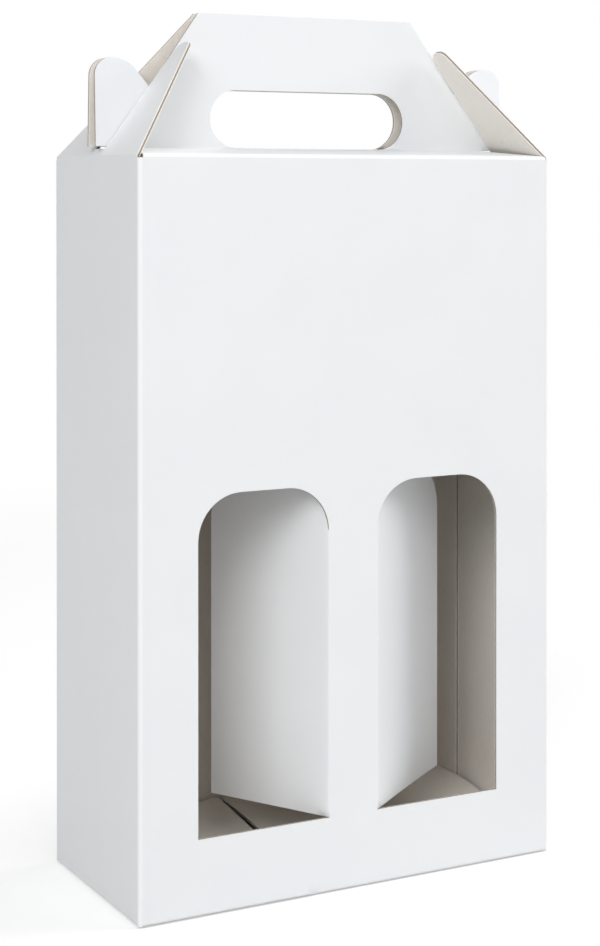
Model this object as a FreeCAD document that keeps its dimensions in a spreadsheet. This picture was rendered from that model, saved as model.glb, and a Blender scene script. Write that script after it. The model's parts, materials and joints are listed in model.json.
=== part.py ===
# Two-bottle carrier carton, folded from one sheet of fine-flute corrugated board.
# The origin is the middle of the bottom. +X runs along the width to the right, +Y to the back, +Z up.
# The windows are in the front wall, on the -Y side.
import FreeCAD, Part
import math
import os
import re

import Sketcher
from FreeCAD import Placement, Rotation, Vector

doc = FreeCAD.newDocument("bottle_carrier")

# Driving sizes, in millimetres and degrees

SIZES = {
    "body_width": 200.0,
    "body_depth": 92.5,
    "body_height": 311.5,
    "board": 1.6,
    "fold_radius": 1.8,
    "crease_radius": 0.15,
    "cut_radius": 1.0,
    "hinge_gap": 0.3,
    "loose_gap": 0.5,
    # Windows in the front wall
    "window_margin": 26.2,
    "window_width": 60.3,
    "window_strip": 25.1,
    "window_sill": 31.5,
    "window_height": 140.8,
    "window_radius": 19.5,
    # Divider flaps, hinged at the middle strip and folded in
    "left_divider_turn": 62.4,
    "right_divider_turn": 35.0,
    "right_divider_trim": 3.0,
    "divider_clearance": 0.4,
    # Roof halves and the double handle
    "roof_rise": 3.0,
    "roof_inset_front": 2.9,
    "roof_inset_handle": 9.0,
    "handle_height": 61.4,
    "handle_base_gap": 6.5,
    "handle_top_gap": 2.4,
    "handle_top_width": 106.4,
    "hole_width": 97.0,
    "hole_height": 25.2,
    # Ears at the outer ends of the handle panels
    "ear_overhang": 1.5,
    "ear_bottom": 3.6,
    "ear_top": 41.0,
    "ear_radius": 7.5,
    "ear_inner_radius": 15.0,
    "ear_slope_start": 13.2,
    "front_notch_inset": 23.5,
    "front_notch_height": 28.6,
    "back_notch_inset": 19.6,
    "back_notch_height": 33.5,
    # Locking flaps at the tops of the side walls
    "lock_lean": 37.0,
    "lock_end_gap": 2.0,
    "front_lobe_length": 60.5,
    "front_lobe_shoulder": 53.0,
    "front_lobe_slope": 1.4,
    "front_lobe_tip": 9.0,
    "back_lobe_length": 43.0,
    "back_lobe_shoulder": 36.0,
    "back_lobe_slope": 2.4,
    "back_lobe_tip": 12.5,
    "lobe_tip_radius": 4.5,
    "slot_clearance": 0.5,
    "slot_base": 3.5,
    # Bottom flaps
    "back_bottom_short": 8.0,
    "inner_bottom_length": 76.0,
    "inner_bottom_setback": 15.0,
    "bow_rise": 15.1,
    "bow_knee": 13.2,
    "bow_knee_depth": 44.0,
    "bow_radius": 200.0,
    "left_bottom_front_rise": 5.6,
    "left_bottom_back_rise": 18.1,
    "bottom_split": 1.6,
    # Glued seam inside the right wall
    "seam_width": 20.0,
    "seam_end_gap": 4.0,
}

sheet = doc.addObject("Spreadsheet::Sheet", "Sizes")
for row, (alias, value) in enumerate(SIZES.items(), start=1):
    sheet.set(f"A{row}", alias)
    sheet.set(f"B{row}", str(value))
    sheet.setAlias(f"B{row}", alias)
doc.recompute()


def linked(formula):
    """The formula with each size's word tied to the size sheet."""
    return re.sub(r"[a-z_]+", lambda m: f"Sizes.{m[0]}" if m[0] in SIZES else m[0], formula)


def worked_out(formula):
    """The formula's present value."""
    return float(sheet.evalExpression(linked(formula)))


# Formulas that several pieces share

HALF_WIDTH = "body_width / 2"
HALF_DEPTH = "body_depth / 2"
HALF_INSIDE_WIDTH = "(body_width / 2 - board)"
HALF_INSIDE_DEPTH = "(body_depth / 2 - board)"
HALF_BOARD = "board / 2"
ROUND_EDGE = "board * 0.49"
HINGE_START = "(board / 2 + hinge_gap)"
HANDLE_BASE_HALF = "(handle_base_gap / 2 + board)"
HANDLE_TOP_HALF = "(handle_top_gap / 2 + board)"
WINDOW_LEFT_OUTER = "(body_width / 2 - window_margin)"
WINDOW_LEFT_INNER = "(body_width / 2 - window_margin - window_width)"
WINDOW_RIGHT_INNER = "(window_margin + window_width + window_strip - body_width / 2)"
WINDOW_RIGHT_OUTER = "(window_margin + 2 * window_width + window_strip - body_width / 2)"
WINDOW_TOP = "(window_sill + window_height)"


def part_way(start, end, distance):
    """The point at a distance from start towards end."""
    return start + (end - start).normalize() * distance


def outline(body, name, plane, loops, offset="0"):
    """A sketch of closed loops on one of the body's own planes, moved along that plane's normal.

    A corner is (across, up) or (across, up, radius), each a formula. A rounded corner keeps a
    construction point where its two straight edges would meet.
    """
    sketch = body.newObject("Sketcher::SketchObject", name)
    origin_plane = next(item for item in body.Origin.OriginFeatures if item.Role == plane)
    sketch.AttachmentSupport = [(origin_plane, "")]
    sketch.MapMode = "FlatFace"
    sketch.setExpression("AttachmentOffset.Base.z", linked(offset))
    bound = []

    def pin(point_id, corner, place):
        for kind, formula, value in (("DistanceX", corner[0], place.x), ("DistanceY", corner[1], place.y)):
            index = sketch.addConstraint(Sketcher.Constraint(kind, -1, 1, point_id[0], point_id[1], value))
            bound.append((index, formula))

    for loop in loops:
        places = [Vector(worked_out(corner[0]), worked_out(corner[1]), 0) for corner in loop]
        count = len(loop)
        arrive, leave, arcs = {}, {}, {}
        for i, corner in enumerate(loop):
            before, here, after = places[i - 1], places[i], places[(i + 1) % count]
            arrive[i] = leave[i] = here
            if len(corner) == 3:
                radius = worked_out(corner[2])
                turn = (here - before).getAngle(after - here)
                reach = radius * math.tan(turn / 2)
                arrive[i] = part_way(here, before, reach)
                leave[i] = part_way(here, after, reach)
                middle = (part_way(here, before, 1) + part_way(here, after, 1)) * 0.5
                centre = part_way(here, middle, radius / math.cos(turn / 2))
                arcs[i] = (centre, radius)
        lines = [
            sketch.addGeometry(Part.LineSegment(leave[i], arrive[(i + 1) % count]), False)
            for i in range(count)
        ]
        for i, corner in enumerate(loop):
            line_in, line_out = lines[i - 1], lines[i]
            if i not in arcs:
                sketch.addConstraint(Sketcher.Constraint("Coincident", line_in, 2, line_out, 1))
                pin((line_out, 1), corner, places[i])
                continue
            centre, radius = arcs[i]
            start, end = arrive[i] - centre, leave[i] - centre
            leftward = start.cross(end).z > 0
            first, last = (start, end) if leftward else (end, start)
            circle = Part.Circle(centre, Vector(0, 0, 1), radius)
            angles = [math.atan2(arm.y, arm.x) for arm in (first, last)]
            arc = sketch.addGeometry(Part.ArcOfCircle(circle, *angles), False)
            point = sketch.addGeometry(Part.Point(places[i]), True)
            at_start, at_end = (1, 2) if leftward else (2, 1)
            sketch.addConstraint(Sketcher.Constraint("Tangent", line_in, 2, arc, at_start))
            sketch.addConstraint(Sketcher.Constraint("Tangent", arc, at_end, line_out, 1))
            sketch.addConstraint(Sketcher.Constraint("PointOnObject", point, 1, line_in))
            sketch.addConstraint(Sketcher.Constraint("PointOnObject", point, 1, line_out))
            pin((point, 1), corner, places[i])
            bound.append((sketch.addConstraint(Sketcher.Constraint("Radius", arc, radius)), corner[2]))
    for index, formula in bound:
        sketch.setExpression(f"Constraints[{index}]", linked(formula))
    return sketch


def mirrored(loop):
    """The loop on the other side of the middle, run the other way round."""
    return [(f"-({corner[0]})", *corner[1:]) for corner in reversed(loop)]


def feature(body, kind, name, sketch, length, side="One side", reverse=False):
    """A pad or a pocket of a sketch, with its length given by a formula."""
    made = body.newObject(kind, name)
    made.Profile = sketch
    made.SideType = side
    made.Reversed = reverse
    made.setExpression("Length", linked(length))
    sketch.Visibility = False
    return made


def pad(body, name, sketch, length, side="One side", reverse=False):
    return feature(body, "PartDesign::Pad", name, sketch, length, side, reverse)


def pocket(body, name, sketch, length, side="One side", reverse=False):
    """A pocket that has to take material away, or the run stops."""
    doc.recompute()
    before = body.Shape.Volume
    made = feature(body, "PartDesign::Pocket", name, sketch, length, side, reverse)
    doc.recompute()
    if not body.Shape.Volume < before - 1.0:
        raise RuntimeError(f"{name} cuts nothing")
    return made


def new_body(label):
    body = doc.addObject("PartDesign::Body", label)
    body.Label = label
    return body


# The folded carton

def walls(body):
    """Four walls in one closed tube, with rounded upright folds."""
    outer = [
        (f"-{HALF_WIDTH}", f"-{HALF_DEPTH}", "fold_radius"),
        (HALF_WIDTH, f"-{HALF_DEPTH}", "fold_radius"),
        (HALF_WIDTH, HALF_DEPTH, "fold_radius"),
        (f"-{HALF_WIDTH}", HALF_DEPTH, "fold_radius"),
    ]
    inner = [
        (f"-{HALF_INSIDE_WIDTH}", f"-{HALF_INSIDE_DEPTH}", "crease_radius"),
        (HALF_INSIDE_WIDTH, f"-{HALF_INSIDE_DEPTH}", "crease_radius"),
        (HALF_INSIDE_WIDTH, HALF_INSIDE_DEPTH, "crease_radius"),
        (f"-{HALF_INSIDE_WIDTH}", HALF_INSIDE_DEPTH, "crease_radius"),
    ]
    section = outline(body, "wall_section", "XY_Plane", [outer, inner])
    pad(body, "wall_tube", section, "body_height - fold_radius")


def roof_half(body, name, side):
    """One roof half and its handle panel: a wall folds over, rises a little and stands up again."""
    profile = [
        (f"{side} * {HALF_DEPTH}", "body_height - fold_radius"),
        (f"{side} * {HALF_DEPTH}", "body_height", "fold_radius"),
        (f"{side} * {HANDLE_BASE_HALF}", "body_height + roof_rise", "crease_radius"),
        (f"{side} * {HANDLE_TOP_HALF}", "body_height + handle_height"),
        (f"{side} * handle_top_gap / 2", "body_height + handle_height"),
        (f"{side} * handle_base_gap / 2", "body_height + roof_rise - board", "fold_radius"),
        (f"{side} * {HALF_INSIDE_DEPTH}", "body_height - board", "crease_radius"),
        (f"{side} * {HALF_INSIDE_DEPTH}", "body_height - fold_radius"),
    ]
    sketch = outline(body, f"{name}_profile", "YZ_Plane", [profile])
    pad(body, name, sketch, "body_width + 2 * ear_overhang + 2 * board", "Symmetric")


def handle_outline(body, name, notch_inset, notch_height, reverse):
    """Cuts one handle panel's sloping shoulders and rounded ears."""
    edge = "(body_width / 2 + ear_overhang)"
    beyond = "(body_width / 2 + ear_overhang + 3 * board)"
    above = "body_height + handle_height + board"
    waste = [
        (edge, "body_height + ear_bottom"),
        (beyond, "body_height + ear_bottom"),
        (beyond, above),
        ("handle_top_width / 2", above),
        ("handle_top_width / 2", "body_height + handle_height"),
        (f"body_width / 2 - {notch_inset}", f"body_height + {notch_height}", "cut_radius"),
        ("body_width / 2 - ear_slope_start", "body_height + ear_top", "ear_inner_radius"),
        (edge, "body_height + ear_top", "ear_radius"),
    ]
    sketch = outline(body, f"{name}_outline", "XZ_Plane", [waste, mirrored(waste)])
    pocket(body, name, sketch, HALF_DEPTH, reverse=reverse)


def roof_sides(body):
    """Tapers the roof halves so that the leaning locking flaps clear them."""
    waste = [
        ("body_width / 2 - roof_inset_front", f"-{HALF_DEPTH} - board"),
        ("body_width / 2 + ear_overhang + 3 * board", f"-{HALF_DEPTH} - board"),
        ("body_width / 2 + ear_overhang + 3 * board", f"{HALF_DEPTH} + board"),
        ("body_width / 2 - roof_inset_front", f"{HALF_DEPTH} + board"),
        ("body_width / 2 - roof_inset_handle", HANDLE_BASE_HALF),
        ("body_width / 2 - roof_inset_handle", f"-{HANDLE_BASE_HALF}"),
    ]
    sketch = outline(
        body, "roof_side_outline", "XY_Plane", [waste, mirrored(waste)], "body_height + ear_bottom"
    )
    pocket(body, "roof_sides", sketch, "ear_bottom + fold_radius")


def side_crests(body):
    """The side walls' top folds, rounded about the line on which the locking flaps turn."""
    crest = [
        (HALF_INSIDE_WIDTH, "body_height - 2 * fold_radius"),
        (HALF_WIDTH, "body_height - 2 * fold_radius"),
        (HALF_WIDTH, "body_height", ROUND_EDGE),
        (HALF_INSIDE_WIDTH, "body_height", ROUND_EDGE),
    ]
    sketch = outline(body, "crest_profile", "XZ_Plane", [crest, mirrored(crest)])
    pad(body, "side_crests", sketch, "body_depth - 2 * (fold_radius + hinge_gap)", "Symmetric")


def windows(body):
    """Two windows with round shoulders, and rounded folds on both sides of the strip between them."""
    left = [
        (f"-{WINDOW_LEFT_OUTER}", "window_sill"),
        (f"-{WINDOW_LEFT_INNER}", "window_sill"),
        (f"-{WINDOW_LEFT_INNER}", WINDOW_TOP, "window_radius"),
        (f"-{WINDOW_LEFT_OUTER}", WINDOW_TOP, "window_radius"),
    ]
    right = [
        (WINDOW_RIGHT_INNER, "window_sill"),
        (WINDOW_RIGHT_OUTER, "window_sill"),
        (WINDOW_RIGHT_OUTER, WINDOW_TOP, "window_radius"),
        (WINDOW_RIGHT_INNER, WINDOW_TOP, "window_radius"),
    ]
    sketch = outline(body, "window_outline", "XZ_Plane", [left, right])
    cut = pocket(body, "windows", sketch, f"{HALF_DEPTH} + board", reverse=True)
    hinge_sides = (-worked_out(WINDOW_LEFT_INNER), worked_out(WINDOW_RIGHT_INNER))
    faces_of_wall = (-worked_out(HALF_DEPTH), -worked_out(HALF_INSIDE_DEPTH))
    names = []
    for number, edge in enumerate(cut.Shape.Edges, start=1):
        box = edge.BoundBox
        upright = box.ZLength > worked_out("window_height / 2") and box.XLength + box.YLength < 0.001
        beside = any(abs(box.XMin - across) < 0.001 for across in hinge_sides)
        on_face = any(abs(box.YMin - deep) < 0.001 for deep in faces_of_wall)
        if upright and beside and on_face:
            names.append(f"Edge{number}")
    rounding = body.newObject("PartDesign::Fillet", "strip_folds")
    rounding.Base = (cut, names)
    rounding.setExpression("Radius", linked(ROUND_EDGE))
    doc.recompute()


def handhold(body):
    """One slot with round ends through both handle panels, standing on their base fold."""
    low = "body_height + roof_rise + crease_radius"
    high = "body_height + roof_rise + crease_radius + hole_height"
    slot = [
        ("-hole_width / 2", low, "hole_height * 0.499"),
        ("hole_width / 2", low, "hole_height * 0.499"),
        ("hole_width / 2", high, "hole_height * 0.499"),
        ("-hole_width / 2", high, "hole_height * 0.499"),
    ]
    sketch = outline(body, "handhold_outline", "XZ_Plane", [slot])
    pocket(body, "handhold", sketch, "body_depth", "Symmetric")


def bottom_flaps(body):
    """Four overlapping bottom flaps. The front one bows up and rests its free edge at the back wall."""
    sides = f"{HALF_INSIDE_WIDTH} - loose_gap"
    back = [
        (f"-({sides})", f"back_bottom_short - {HALF_DEPTH}"),
        (sides, f"back_bottom_short - {HALF_DEPTH}"),
        (sides, f"{HALF_DEPTH} - {HALF_BOARD}"),
        (f"-({sides})", f"{HALF_DEPTH} - {HALF_BOARD}"),
    ]
    sketch = outline(body, "back_bottom_outline", "XY_Plane", [back])
    pad(body, "back_bottom_flap", sketch, "board")

    free_edge = f"{HALF_INSIDE_WIDTH} - inner_bottom_length"
    right = [
        (free_edge, f"2 * inner_bottom_setback - {HALF_DEPTH}"),
        (f"{HALF_INSIDE_WIDTH} - board", f"inner_bottom_setback - {HALF_DEPTH}"),
        (f"{HALF_WIDTH} - {HALF_BOARD}", f"inner_bottom_setback - {HALF_DEPTH}"),
        (f"{HALF_WIDTH} - {HALF_BOARD}", f"{HALF_INSIDE_DEPTH} - loose_gap"),
        (free_edge, f"{HALF_INSIDE_DEPTH} - loose_gap"),
    ]
    sketch = outline(body, "right_bottom_outline", "XY_Plane", [right], "board + hinge_gap")
    pad(body, "right_bottom_flap", sketch, "board")

    start = f"{HALF_BOARD} - {HALF_DEPTH}"
    knee = f"bow_knee_depth - {HALF_DEPTH}"
    end = f"{HALF_INSIDE_DEPTH} - loose_gap"
    bowed = [
        (start, "0"),
        (knee, "bow_knee - board", "bow_radius + board"),
        (end, "bow_rise - board"),
        (end, "bow_rise"),
        (knee, "bow_knee", "bow_radius"),
        (start, "board"),
    ]
    left_limit = f"inner_bottom_length + bottom_split - {HALF_INSIDE_WIDTH}"
    right_limit = f"{HALF_INSIDE_WIDTH} - board - loose_gap"
    sketch = outline(body, "front_bottom_profile", "YZ_Plane", [bowed], left_limit)
    pad(body, "front_bottom_flap", sketch, f"({right_limit}) - ({left_limit})")

    def section(name, rise, offset):
        fold = f"{HALF_BOARD} - {HALF_WIDTH}"
        free = f"inner_bottom_length - {HALF_INSIDE_WIDTH}"
        loop = [
            (fold, "board + hinge_gap"),
            (free, f"{rise} - board"),
            (free, rise),
            (fold, "2 * board + hinge_gap"),
        ]
        return outline(body, name, "XZ_Plane", [loop], offset)

    loft = body.newObject("PartDesign::AdditiveLoft", "left_bottom_flap")
    loft.Profile = section("left_bottom_front", "left_bottom_front_rise", f"{HALF_INSIDE_DEPTH} - loose_gap")
    loft.Sections = [section("left_bottom_back", "left_bottom_back_rise", f"loose_gap - {HALF_INSIDE_DEPTH}")]
    loft.Ruled = True


def glued_seam(body):
    """The seam tab of the back wall, glued to the inside of the right wall."""
    tab = [
        (f"{HALF_INSIDE_WIDTH} - board", f"{HALF_INSIDE_DEPTH} - seam_width"),
        (f"{HALF_WIDTH} - {HALF_BOARD}", f"{HALF_INSIDE_DEPTH} - seam_width"),
        (f"{HALF_WIDTH} - {HALF_BOARD}", f"{HALF_DEPTH} - {HALF_BOARD}"),
        (f"{HALF_INSIDE_WIDTH} - board", f"{HALF_DEPTH} - {HALF_BOARD}"),
    ]
    sketch = outline(body, "seam_outline", "XY_Plane", [tab], "seam_end_gap")
    pad(body, "seam_tab", sketch, "body_height - 2 * seam_end_gap")


def make_carton():
    body = new_body("carton")
    walls(body)
    roof_half(body, "front_roof_and_handle", "-1")
    handle_outline(body, "front_shoulders", "front_notch_inset", "front_notch_height", True)
    roof_half(body, "back_roof_and_handle", "1")
    handle_outline(body, "back_shoulders", "back_notch_inset", "back_notch_height", False)
    roof_sides(body)
    handhold(body)
    windows(body)
    side_crests(body)
    bottom_flaps(body)
    glued_seam(body)
    return body


# The flaps that turn

def turned(body, across, deep, high, axis, angle):
    """Stands the body at its fold line and turns it about that line."""
    body.Placement = Placement(Vector(0, 0, 0), Rotation(axis, worked_out(angle)))
    for word, formula in (("x", across), ("y", deep), ("z", high)):
        body.setExpression(f"Placement.Base.{word}", linked(formula))
    body.setExpression("Placement.Rotation.Angle", linked(angle))


def make_locking_flap(name, side):
    """A side flap split by a slot into a tall front lobe and a low back one, with the ears in its slot."""
    body = new_body(name)
    slot_half = f"({HANDLE_BASE_HALF} + slot_clearance)"

    def lobe(which):
        tip_inner = f"{slot_half} + {which}_lobe_slope"
        tip_outer = f"{tip_inner} + {which}_lobe_tip"
        return [
            (f"-{slot_half}", "slot_base"),
            (f"-{slot_half}", f"{which}_lobe_shoulder", "lobe_tip_radius"),
            (f"-({tip_inner})", f"{which}_lobe_length", "lobe_tip_radius"),
            (f"-({tip_outer})", f"{which}_lobe_length", "lobe_tip_radius"),
            (f"lock_end_gap - {HALF_DEPTH}", HINGE_START),
        ]

    loop = lobe("front") + mirrored(lobe("back"))
    sketch = outline(body, f"{name}_outline", "YZ_Plane", [loop])
    pad(body, f"{name}_board", sketch, "board", "Symmetric")
    turned(
        body,
        f"{side} * ({HALF_WIDTH} - {HALF_BOARD})",
        "0",
        f"body_height - {HALF_BOARD}",
        Vector(0, -side, 0),
        "lock_lean",
    )
    return body


def make_divider_flap(name, side, hinge_edge, turn, trim):
    """A window's cut-out, still hinged at the middle strip and swung inwards beside its bottle."""
    body = new_body(name)
    start = "hinge_gap + board / 2"
    end = f"window_width - divider_clearance + {HALF_BOARD}"
    top = f"{WINDOW_TOP} - divider_clearance"
    panel = [
        (f"{side} * ({start})", "window_sill + divider_clearance"),
        (f"{side} * ({end})", f"window_sill + divider_clearance + {trim}"),
        (f"{side} * ({end})", top, "window_radius - divider_clearance"),
        (f"{side} * ({start})", top, "window_radius - divider_clearance"),
    ]
    sketch = outline(body, f"{name}_outline", "XZ_Plane", [panel])
    pad(body, f"{name}_board", sketch, "board", "Symmetric")
    turned(
        body,
        f"{hinge_edge} - {side} * {HALF_BOARD}",
        f"{HALF_BOARD} - {HALF_DEPTH}",
        "0",
        Vector(0, 0, side),
        turn,
    )
    return body


def main():
    pieces = [
        make_carton(),
        make_locking_flap("left_locking_flap", -1),
        make_locking_flap("right_locking_flap", 1),
        make_divider_flap("left_divider_flap", -1, f"-{WINDOW_LEFT_INNER}", "left_divider_turn", "0"),
        make_divider_flap(
            "right_divider_flap", 1, WINDOW_RIGHT_INNER, "right_divider_turn", "right_divider_trim"
        ),
    ]
    doc.recompute()
    for item in doc.Objects:
        if {"Invalid", "Error"} & set(item.State):
            raise RuntimeError(f"{item.Label} did not build: {item.State}")
    os.makedirs("parts", exist_ok=True)
    for body in pieces:
        shape = body.Shape
        if shape.isNull() or not shape.isValid() or len(shape.Solids) != 1:
            raise RuntimeError(f"{body.Label} is not one sound solid")
        box = shape.BoundBox
        print(
            f"{body.Label}: {shape.Volume / 1000:.2f} cm3, {len(shape.Faces)} faces, "
            f"x {box.XMin:.1f}..{box.XMax:.1f}, y {box.YMin:.1f}..{box.YMax:.1f}, z {box.ZMin:.1f}..{box.ZMax:.1f}"
        )
        shape.exportStep(f"parts/{body.Label}.step")


main()
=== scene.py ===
# %% [markdown]
# # A carrier carton for two bottles
#
# The object is one sheet of thin corrugated board, white outside and grey-brown inside. It is die-cut flat,
# creased, folded into a tall box and closed over its own handle. This lesson builds it in the same way: it
# draws each flat blank, fills it with triangles, and then folds it with a function that sends a point of the
# blank to its place in space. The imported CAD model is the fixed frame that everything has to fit.

import json
import math

import bpy
import numpy as np
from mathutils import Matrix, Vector
from mathutils.geometry import delaunay_2d_cdt


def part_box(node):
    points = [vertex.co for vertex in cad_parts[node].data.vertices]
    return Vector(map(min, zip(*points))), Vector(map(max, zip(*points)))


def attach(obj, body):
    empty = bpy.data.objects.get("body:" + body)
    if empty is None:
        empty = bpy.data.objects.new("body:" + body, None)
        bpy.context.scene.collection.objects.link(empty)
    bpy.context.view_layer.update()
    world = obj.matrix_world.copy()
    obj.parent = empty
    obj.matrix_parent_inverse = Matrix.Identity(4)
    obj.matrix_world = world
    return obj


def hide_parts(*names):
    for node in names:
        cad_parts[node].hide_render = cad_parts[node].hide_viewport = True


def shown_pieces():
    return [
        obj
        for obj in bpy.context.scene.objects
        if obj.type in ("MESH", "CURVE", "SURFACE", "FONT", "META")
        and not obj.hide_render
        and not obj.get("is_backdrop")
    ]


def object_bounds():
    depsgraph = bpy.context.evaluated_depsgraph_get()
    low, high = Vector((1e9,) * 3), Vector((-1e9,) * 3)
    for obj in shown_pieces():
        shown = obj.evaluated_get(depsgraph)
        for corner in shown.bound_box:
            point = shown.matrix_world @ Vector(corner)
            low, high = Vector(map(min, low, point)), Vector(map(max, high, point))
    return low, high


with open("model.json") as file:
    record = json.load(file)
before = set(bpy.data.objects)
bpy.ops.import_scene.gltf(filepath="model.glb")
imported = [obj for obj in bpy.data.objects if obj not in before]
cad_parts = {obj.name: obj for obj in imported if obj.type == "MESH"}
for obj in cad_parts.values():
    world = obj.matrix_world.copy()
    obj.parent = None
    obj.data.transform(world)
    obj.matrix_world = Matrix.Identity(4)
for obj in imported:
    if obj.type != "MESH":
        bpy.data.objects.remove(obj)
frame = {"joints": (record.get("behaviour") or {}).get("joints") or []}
cad_low, cad_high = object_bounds()
print("CAD box, mm:", [round(1000 * v, 1) for v in (*cad_low, *cad_high)])

# %% [markdown]
# ## Sizes
#
# Lengths are in millimetres on the blank, and become metres when a mesh is written. The large ones are read
# from the frame, so that the looks follow the model if it changes. The small ones, such as the board and its
# fold radius, are what a carton maker would state on the drawing.

# %% The carton's sizes
MM = 0.001
carton_low, carton_high = (np.array(corner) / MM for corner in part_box("carton"))

EAR_OVERHANG = 1.5
HANDLE_HEIGHT = 61.4
WIDTH = carton_high[0] - carton_low[0] - 2 * EAR_OVERHANG
DEPTH = carton_high[1] - carton_low[1]
HEIGHT = carton_high[2] - HANDLE_HEIGHT
BOARD = 1.6
FOLD = 1.8
CREASE = 0.2
BOTTOM_FOLD = 1.1
HALF_BOARD = BOARD / 2

ROOF_RISE = 3.0
HANDLE_BASE = 4.85
HANDLE_TOP = 2.8
SEAM_WIDTH = 20.0
SEAM_GAP = 0.05

WINDOW_SILL, WINDOW_TOP = 31.5, 172.3
LEFT_WINDOW = (-73.8, -13.5)
RIGHT_WINDOW = (11.6, 71.9)
WINDOW_ROUND = 19.5
print(f"carton {WIDTH:.1f} x {DEPTH:.1f} x {HEIGHT:.1f} mm, handle {HANDLE_HEIGHT} mm")

# %% [markdown]
# ## Folding
#
# Seen from the side, a folded strip of board is straight runs joined by arcs. The class below follows its
# outer face: in a run the heading stays, and in a fold it turns steadily. A point inside the board lies at its
# depth to the left of that line. The same class folds the four walls, seen from above, and each wall's flap,
# roof and handle, seen from the side.


# %% The line of a folded strip
class FoldedLine:
    """The outer face of a folded strip, as a function of the distance along it.

    A part is a run's length, or a fold's (turn in degrees, radius). Distance is counted so that the part
    with the index zero_at starts at zero_value. The point at depth d is the line's point plus d times the
    unit vector to the left of the heading.
    """

    def __init__(self, start, heading, parts, zero_at=0, zero_value=0.0):
        lengths, bends = [], []
        for part in parts:
            turn, radius = part if isinstance(part, tuple) else (0.0, 0.0)
            lengths.append(abs(math.radians(turn)) * radius if turn else part)
            bends.append(math.copysign(1 / radius, turn) if turn else 0.0)
        self.lengths, self.bends = np.array(lengths), np.array(bends)
        self.ends = np.concatenate([[0.0], np.cumsum(self.lengths)])
        self.ends += zero_value - self.ends[zero_at]
        self.headings = math.radians(heading) + np.concatenate([[0.0], np.cumsum(self.lengths * self.bends)])
        self.points = [np.array(start, float)]
        for i, length in enumerate(self.lengths):
            self.points.append(self._step(self.points[-1], self.headings[i], self.bends[i], length))
        self.points = np.array(self.points)

    @staticmethod
    def _step(point, heading, bend, distance):
        """From a point, along an arc of the given bend: the chord of the turn, or a straight line."""
        half_turn = bend * distance / 2
        chord = distance * np.sinc(half_turn / np.pi)
        direction = heading + half_turn
        return point + np.stack([chord * np.cos(direction), chord * np.sin(direction)], axis=-1)

    def at(self, distance, depth):
        """The point at a distance along the outer face and a depth into the board."""
        part = np.clip(np.searchsorted(self.ends, distance, side="right") - 1, 0, len(self.lengths) - 1)
        along = distance - self.ends[part]
        point = self._step(self.points[part], self.headings[part], self.bends[part], along)
        heading = self.headings[part] + self.bends[part] * along
        inwards = np.stack([-np.sin(heading), np.cos(heading)], axis=-1)
        return point + inwards * np.asarray(depth)[..., None]

    def folds(self):
        """The start and end of every fold."""
        return [(self.ends[i], self.ends[i + 1]) for i in np.flatnonzero(self.bends)]


def lattice(folds, low, high, spacing=7.0, steps=6, margins=(0.35, 1.0, 2.5)):
    """Evenly spaced lines from low to high, with closer ones across and beside each fold."""
    lines = [np.linspace(low, high, int((high - low) / spacing) + 2)]
    for start, end in folds:
        lines.append(np.linspace(start, end, steps + 1))
        lines.append(np.concatenate([start - np.array(margins), end + np.array(margins)]))
    lines = np.unique(np.round(np.concatenate(lines), 4))
    near_fold = np.zeros(len(lines), bool)
    for start, end in folds:
        near_fold |= (lines > start - max(margins) - 0.01) & (lines < end + max(margins) + 0.01)
    keep = [lines[0]]
    for line, close in zip(lines[1:], near_fold[1:]):
        if close or line - keep[-1] > spacing / 2:
            keep.append(line)
    return np.array(keep)


# %% [markdown]
# ## Blanks
#
# A blank is an outline with holes. Its corners are few, and the round ones are arcs. Where the outline crosses
# a fold it needs extra points, or it would cut the fold's corner. The inside is filled from a lattice of points
# by constrained triangulation, so the surface can bend wherever a fold runs.


# %% Outlines with round corners
def rounded(corners, arc_steps=12):
    """The closed outline through corners (u, v) or (u, v, radius).

    A round corner is the arc that touches both edges. It starts at radius / tan(half the corner's angle)
    from the corner, and its centre is radius / sin(half the angle) along the bisector.
    """
    outline = []
    for i, corner in enumerate(corners):
        here = np.array(corner[:2], float)
        if len(corner) == 2:
            outline.append(here)
            continue
        arms = [np.array(corners[j % len(corners)][:2], float) - here for j in (i - 1, i + 1)]
        arms = [arm / np.linalg.norm(arm) for arm in arms]
        half = math.acos(np.clip(arms[0] @ arms[1], -1, 1)) / 2
        bisector = (arms[0] + arms[1]) / np.linalg.norm(arms[0] + arms[1])
        centre = here + bisector * corner[2] / math.sin(half)
        first, last = (here + arm * corner[2] / math.tan(half) - centre for arm in arms)
        start = math.atan2(first[1], first[0])
        sweep = (math.atan2(last[1], last[0]) - start + math.pi) % (2 * math.pi) - math.pi
        angles = start + sweep * np.linspace(0, 1, arc_steps + 1)
        outline.extend(centre + corner[2] * np.stack([np.cos(angles), np.sin(angles)], axis=1))
    return np.array(outline)


def across_lattice(outline, lines_u, lines_v):
    """The outline with a point wherever a straight stretch crosses a lattice line."""
    points = []
    for here, after in zip(outline, np.roll(outline, -1, axis=0)):
        step = after - here
        shares = [np.zeros(1)]
        for axis, lines in enumerate((lines_u, lines_v)):
            if abs(step[axis]) > 1e-9:
                shares.append((lines - here[axis]) / step[axis])
        shares = np.sort(np.concatenate(shares))
        shares = shares[(shares >= 0) & (shares < 1)]
        length = np.linalg.norm(step)
        apart = np.concatenate([[True], np.diff(shares) * length > 0.02]) & ((1 - shares) * length > 0.02)
        points.append(here + shares[apart][:, None] * step)
    return np.concatenate(points)


def turned_about(outline, anticlockwise):
    """The outline in the asked direction: its signed area is the sum of its edges' cross products."""
    after = np.roll(outline, -1, axis=0)
    area = np.sum(outline[:, 0] * after[:, 1] - outline[:, 1] * after[:, 0])
    return outline if (area > 0) == anticlockwise else outline[::-1]


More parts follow.
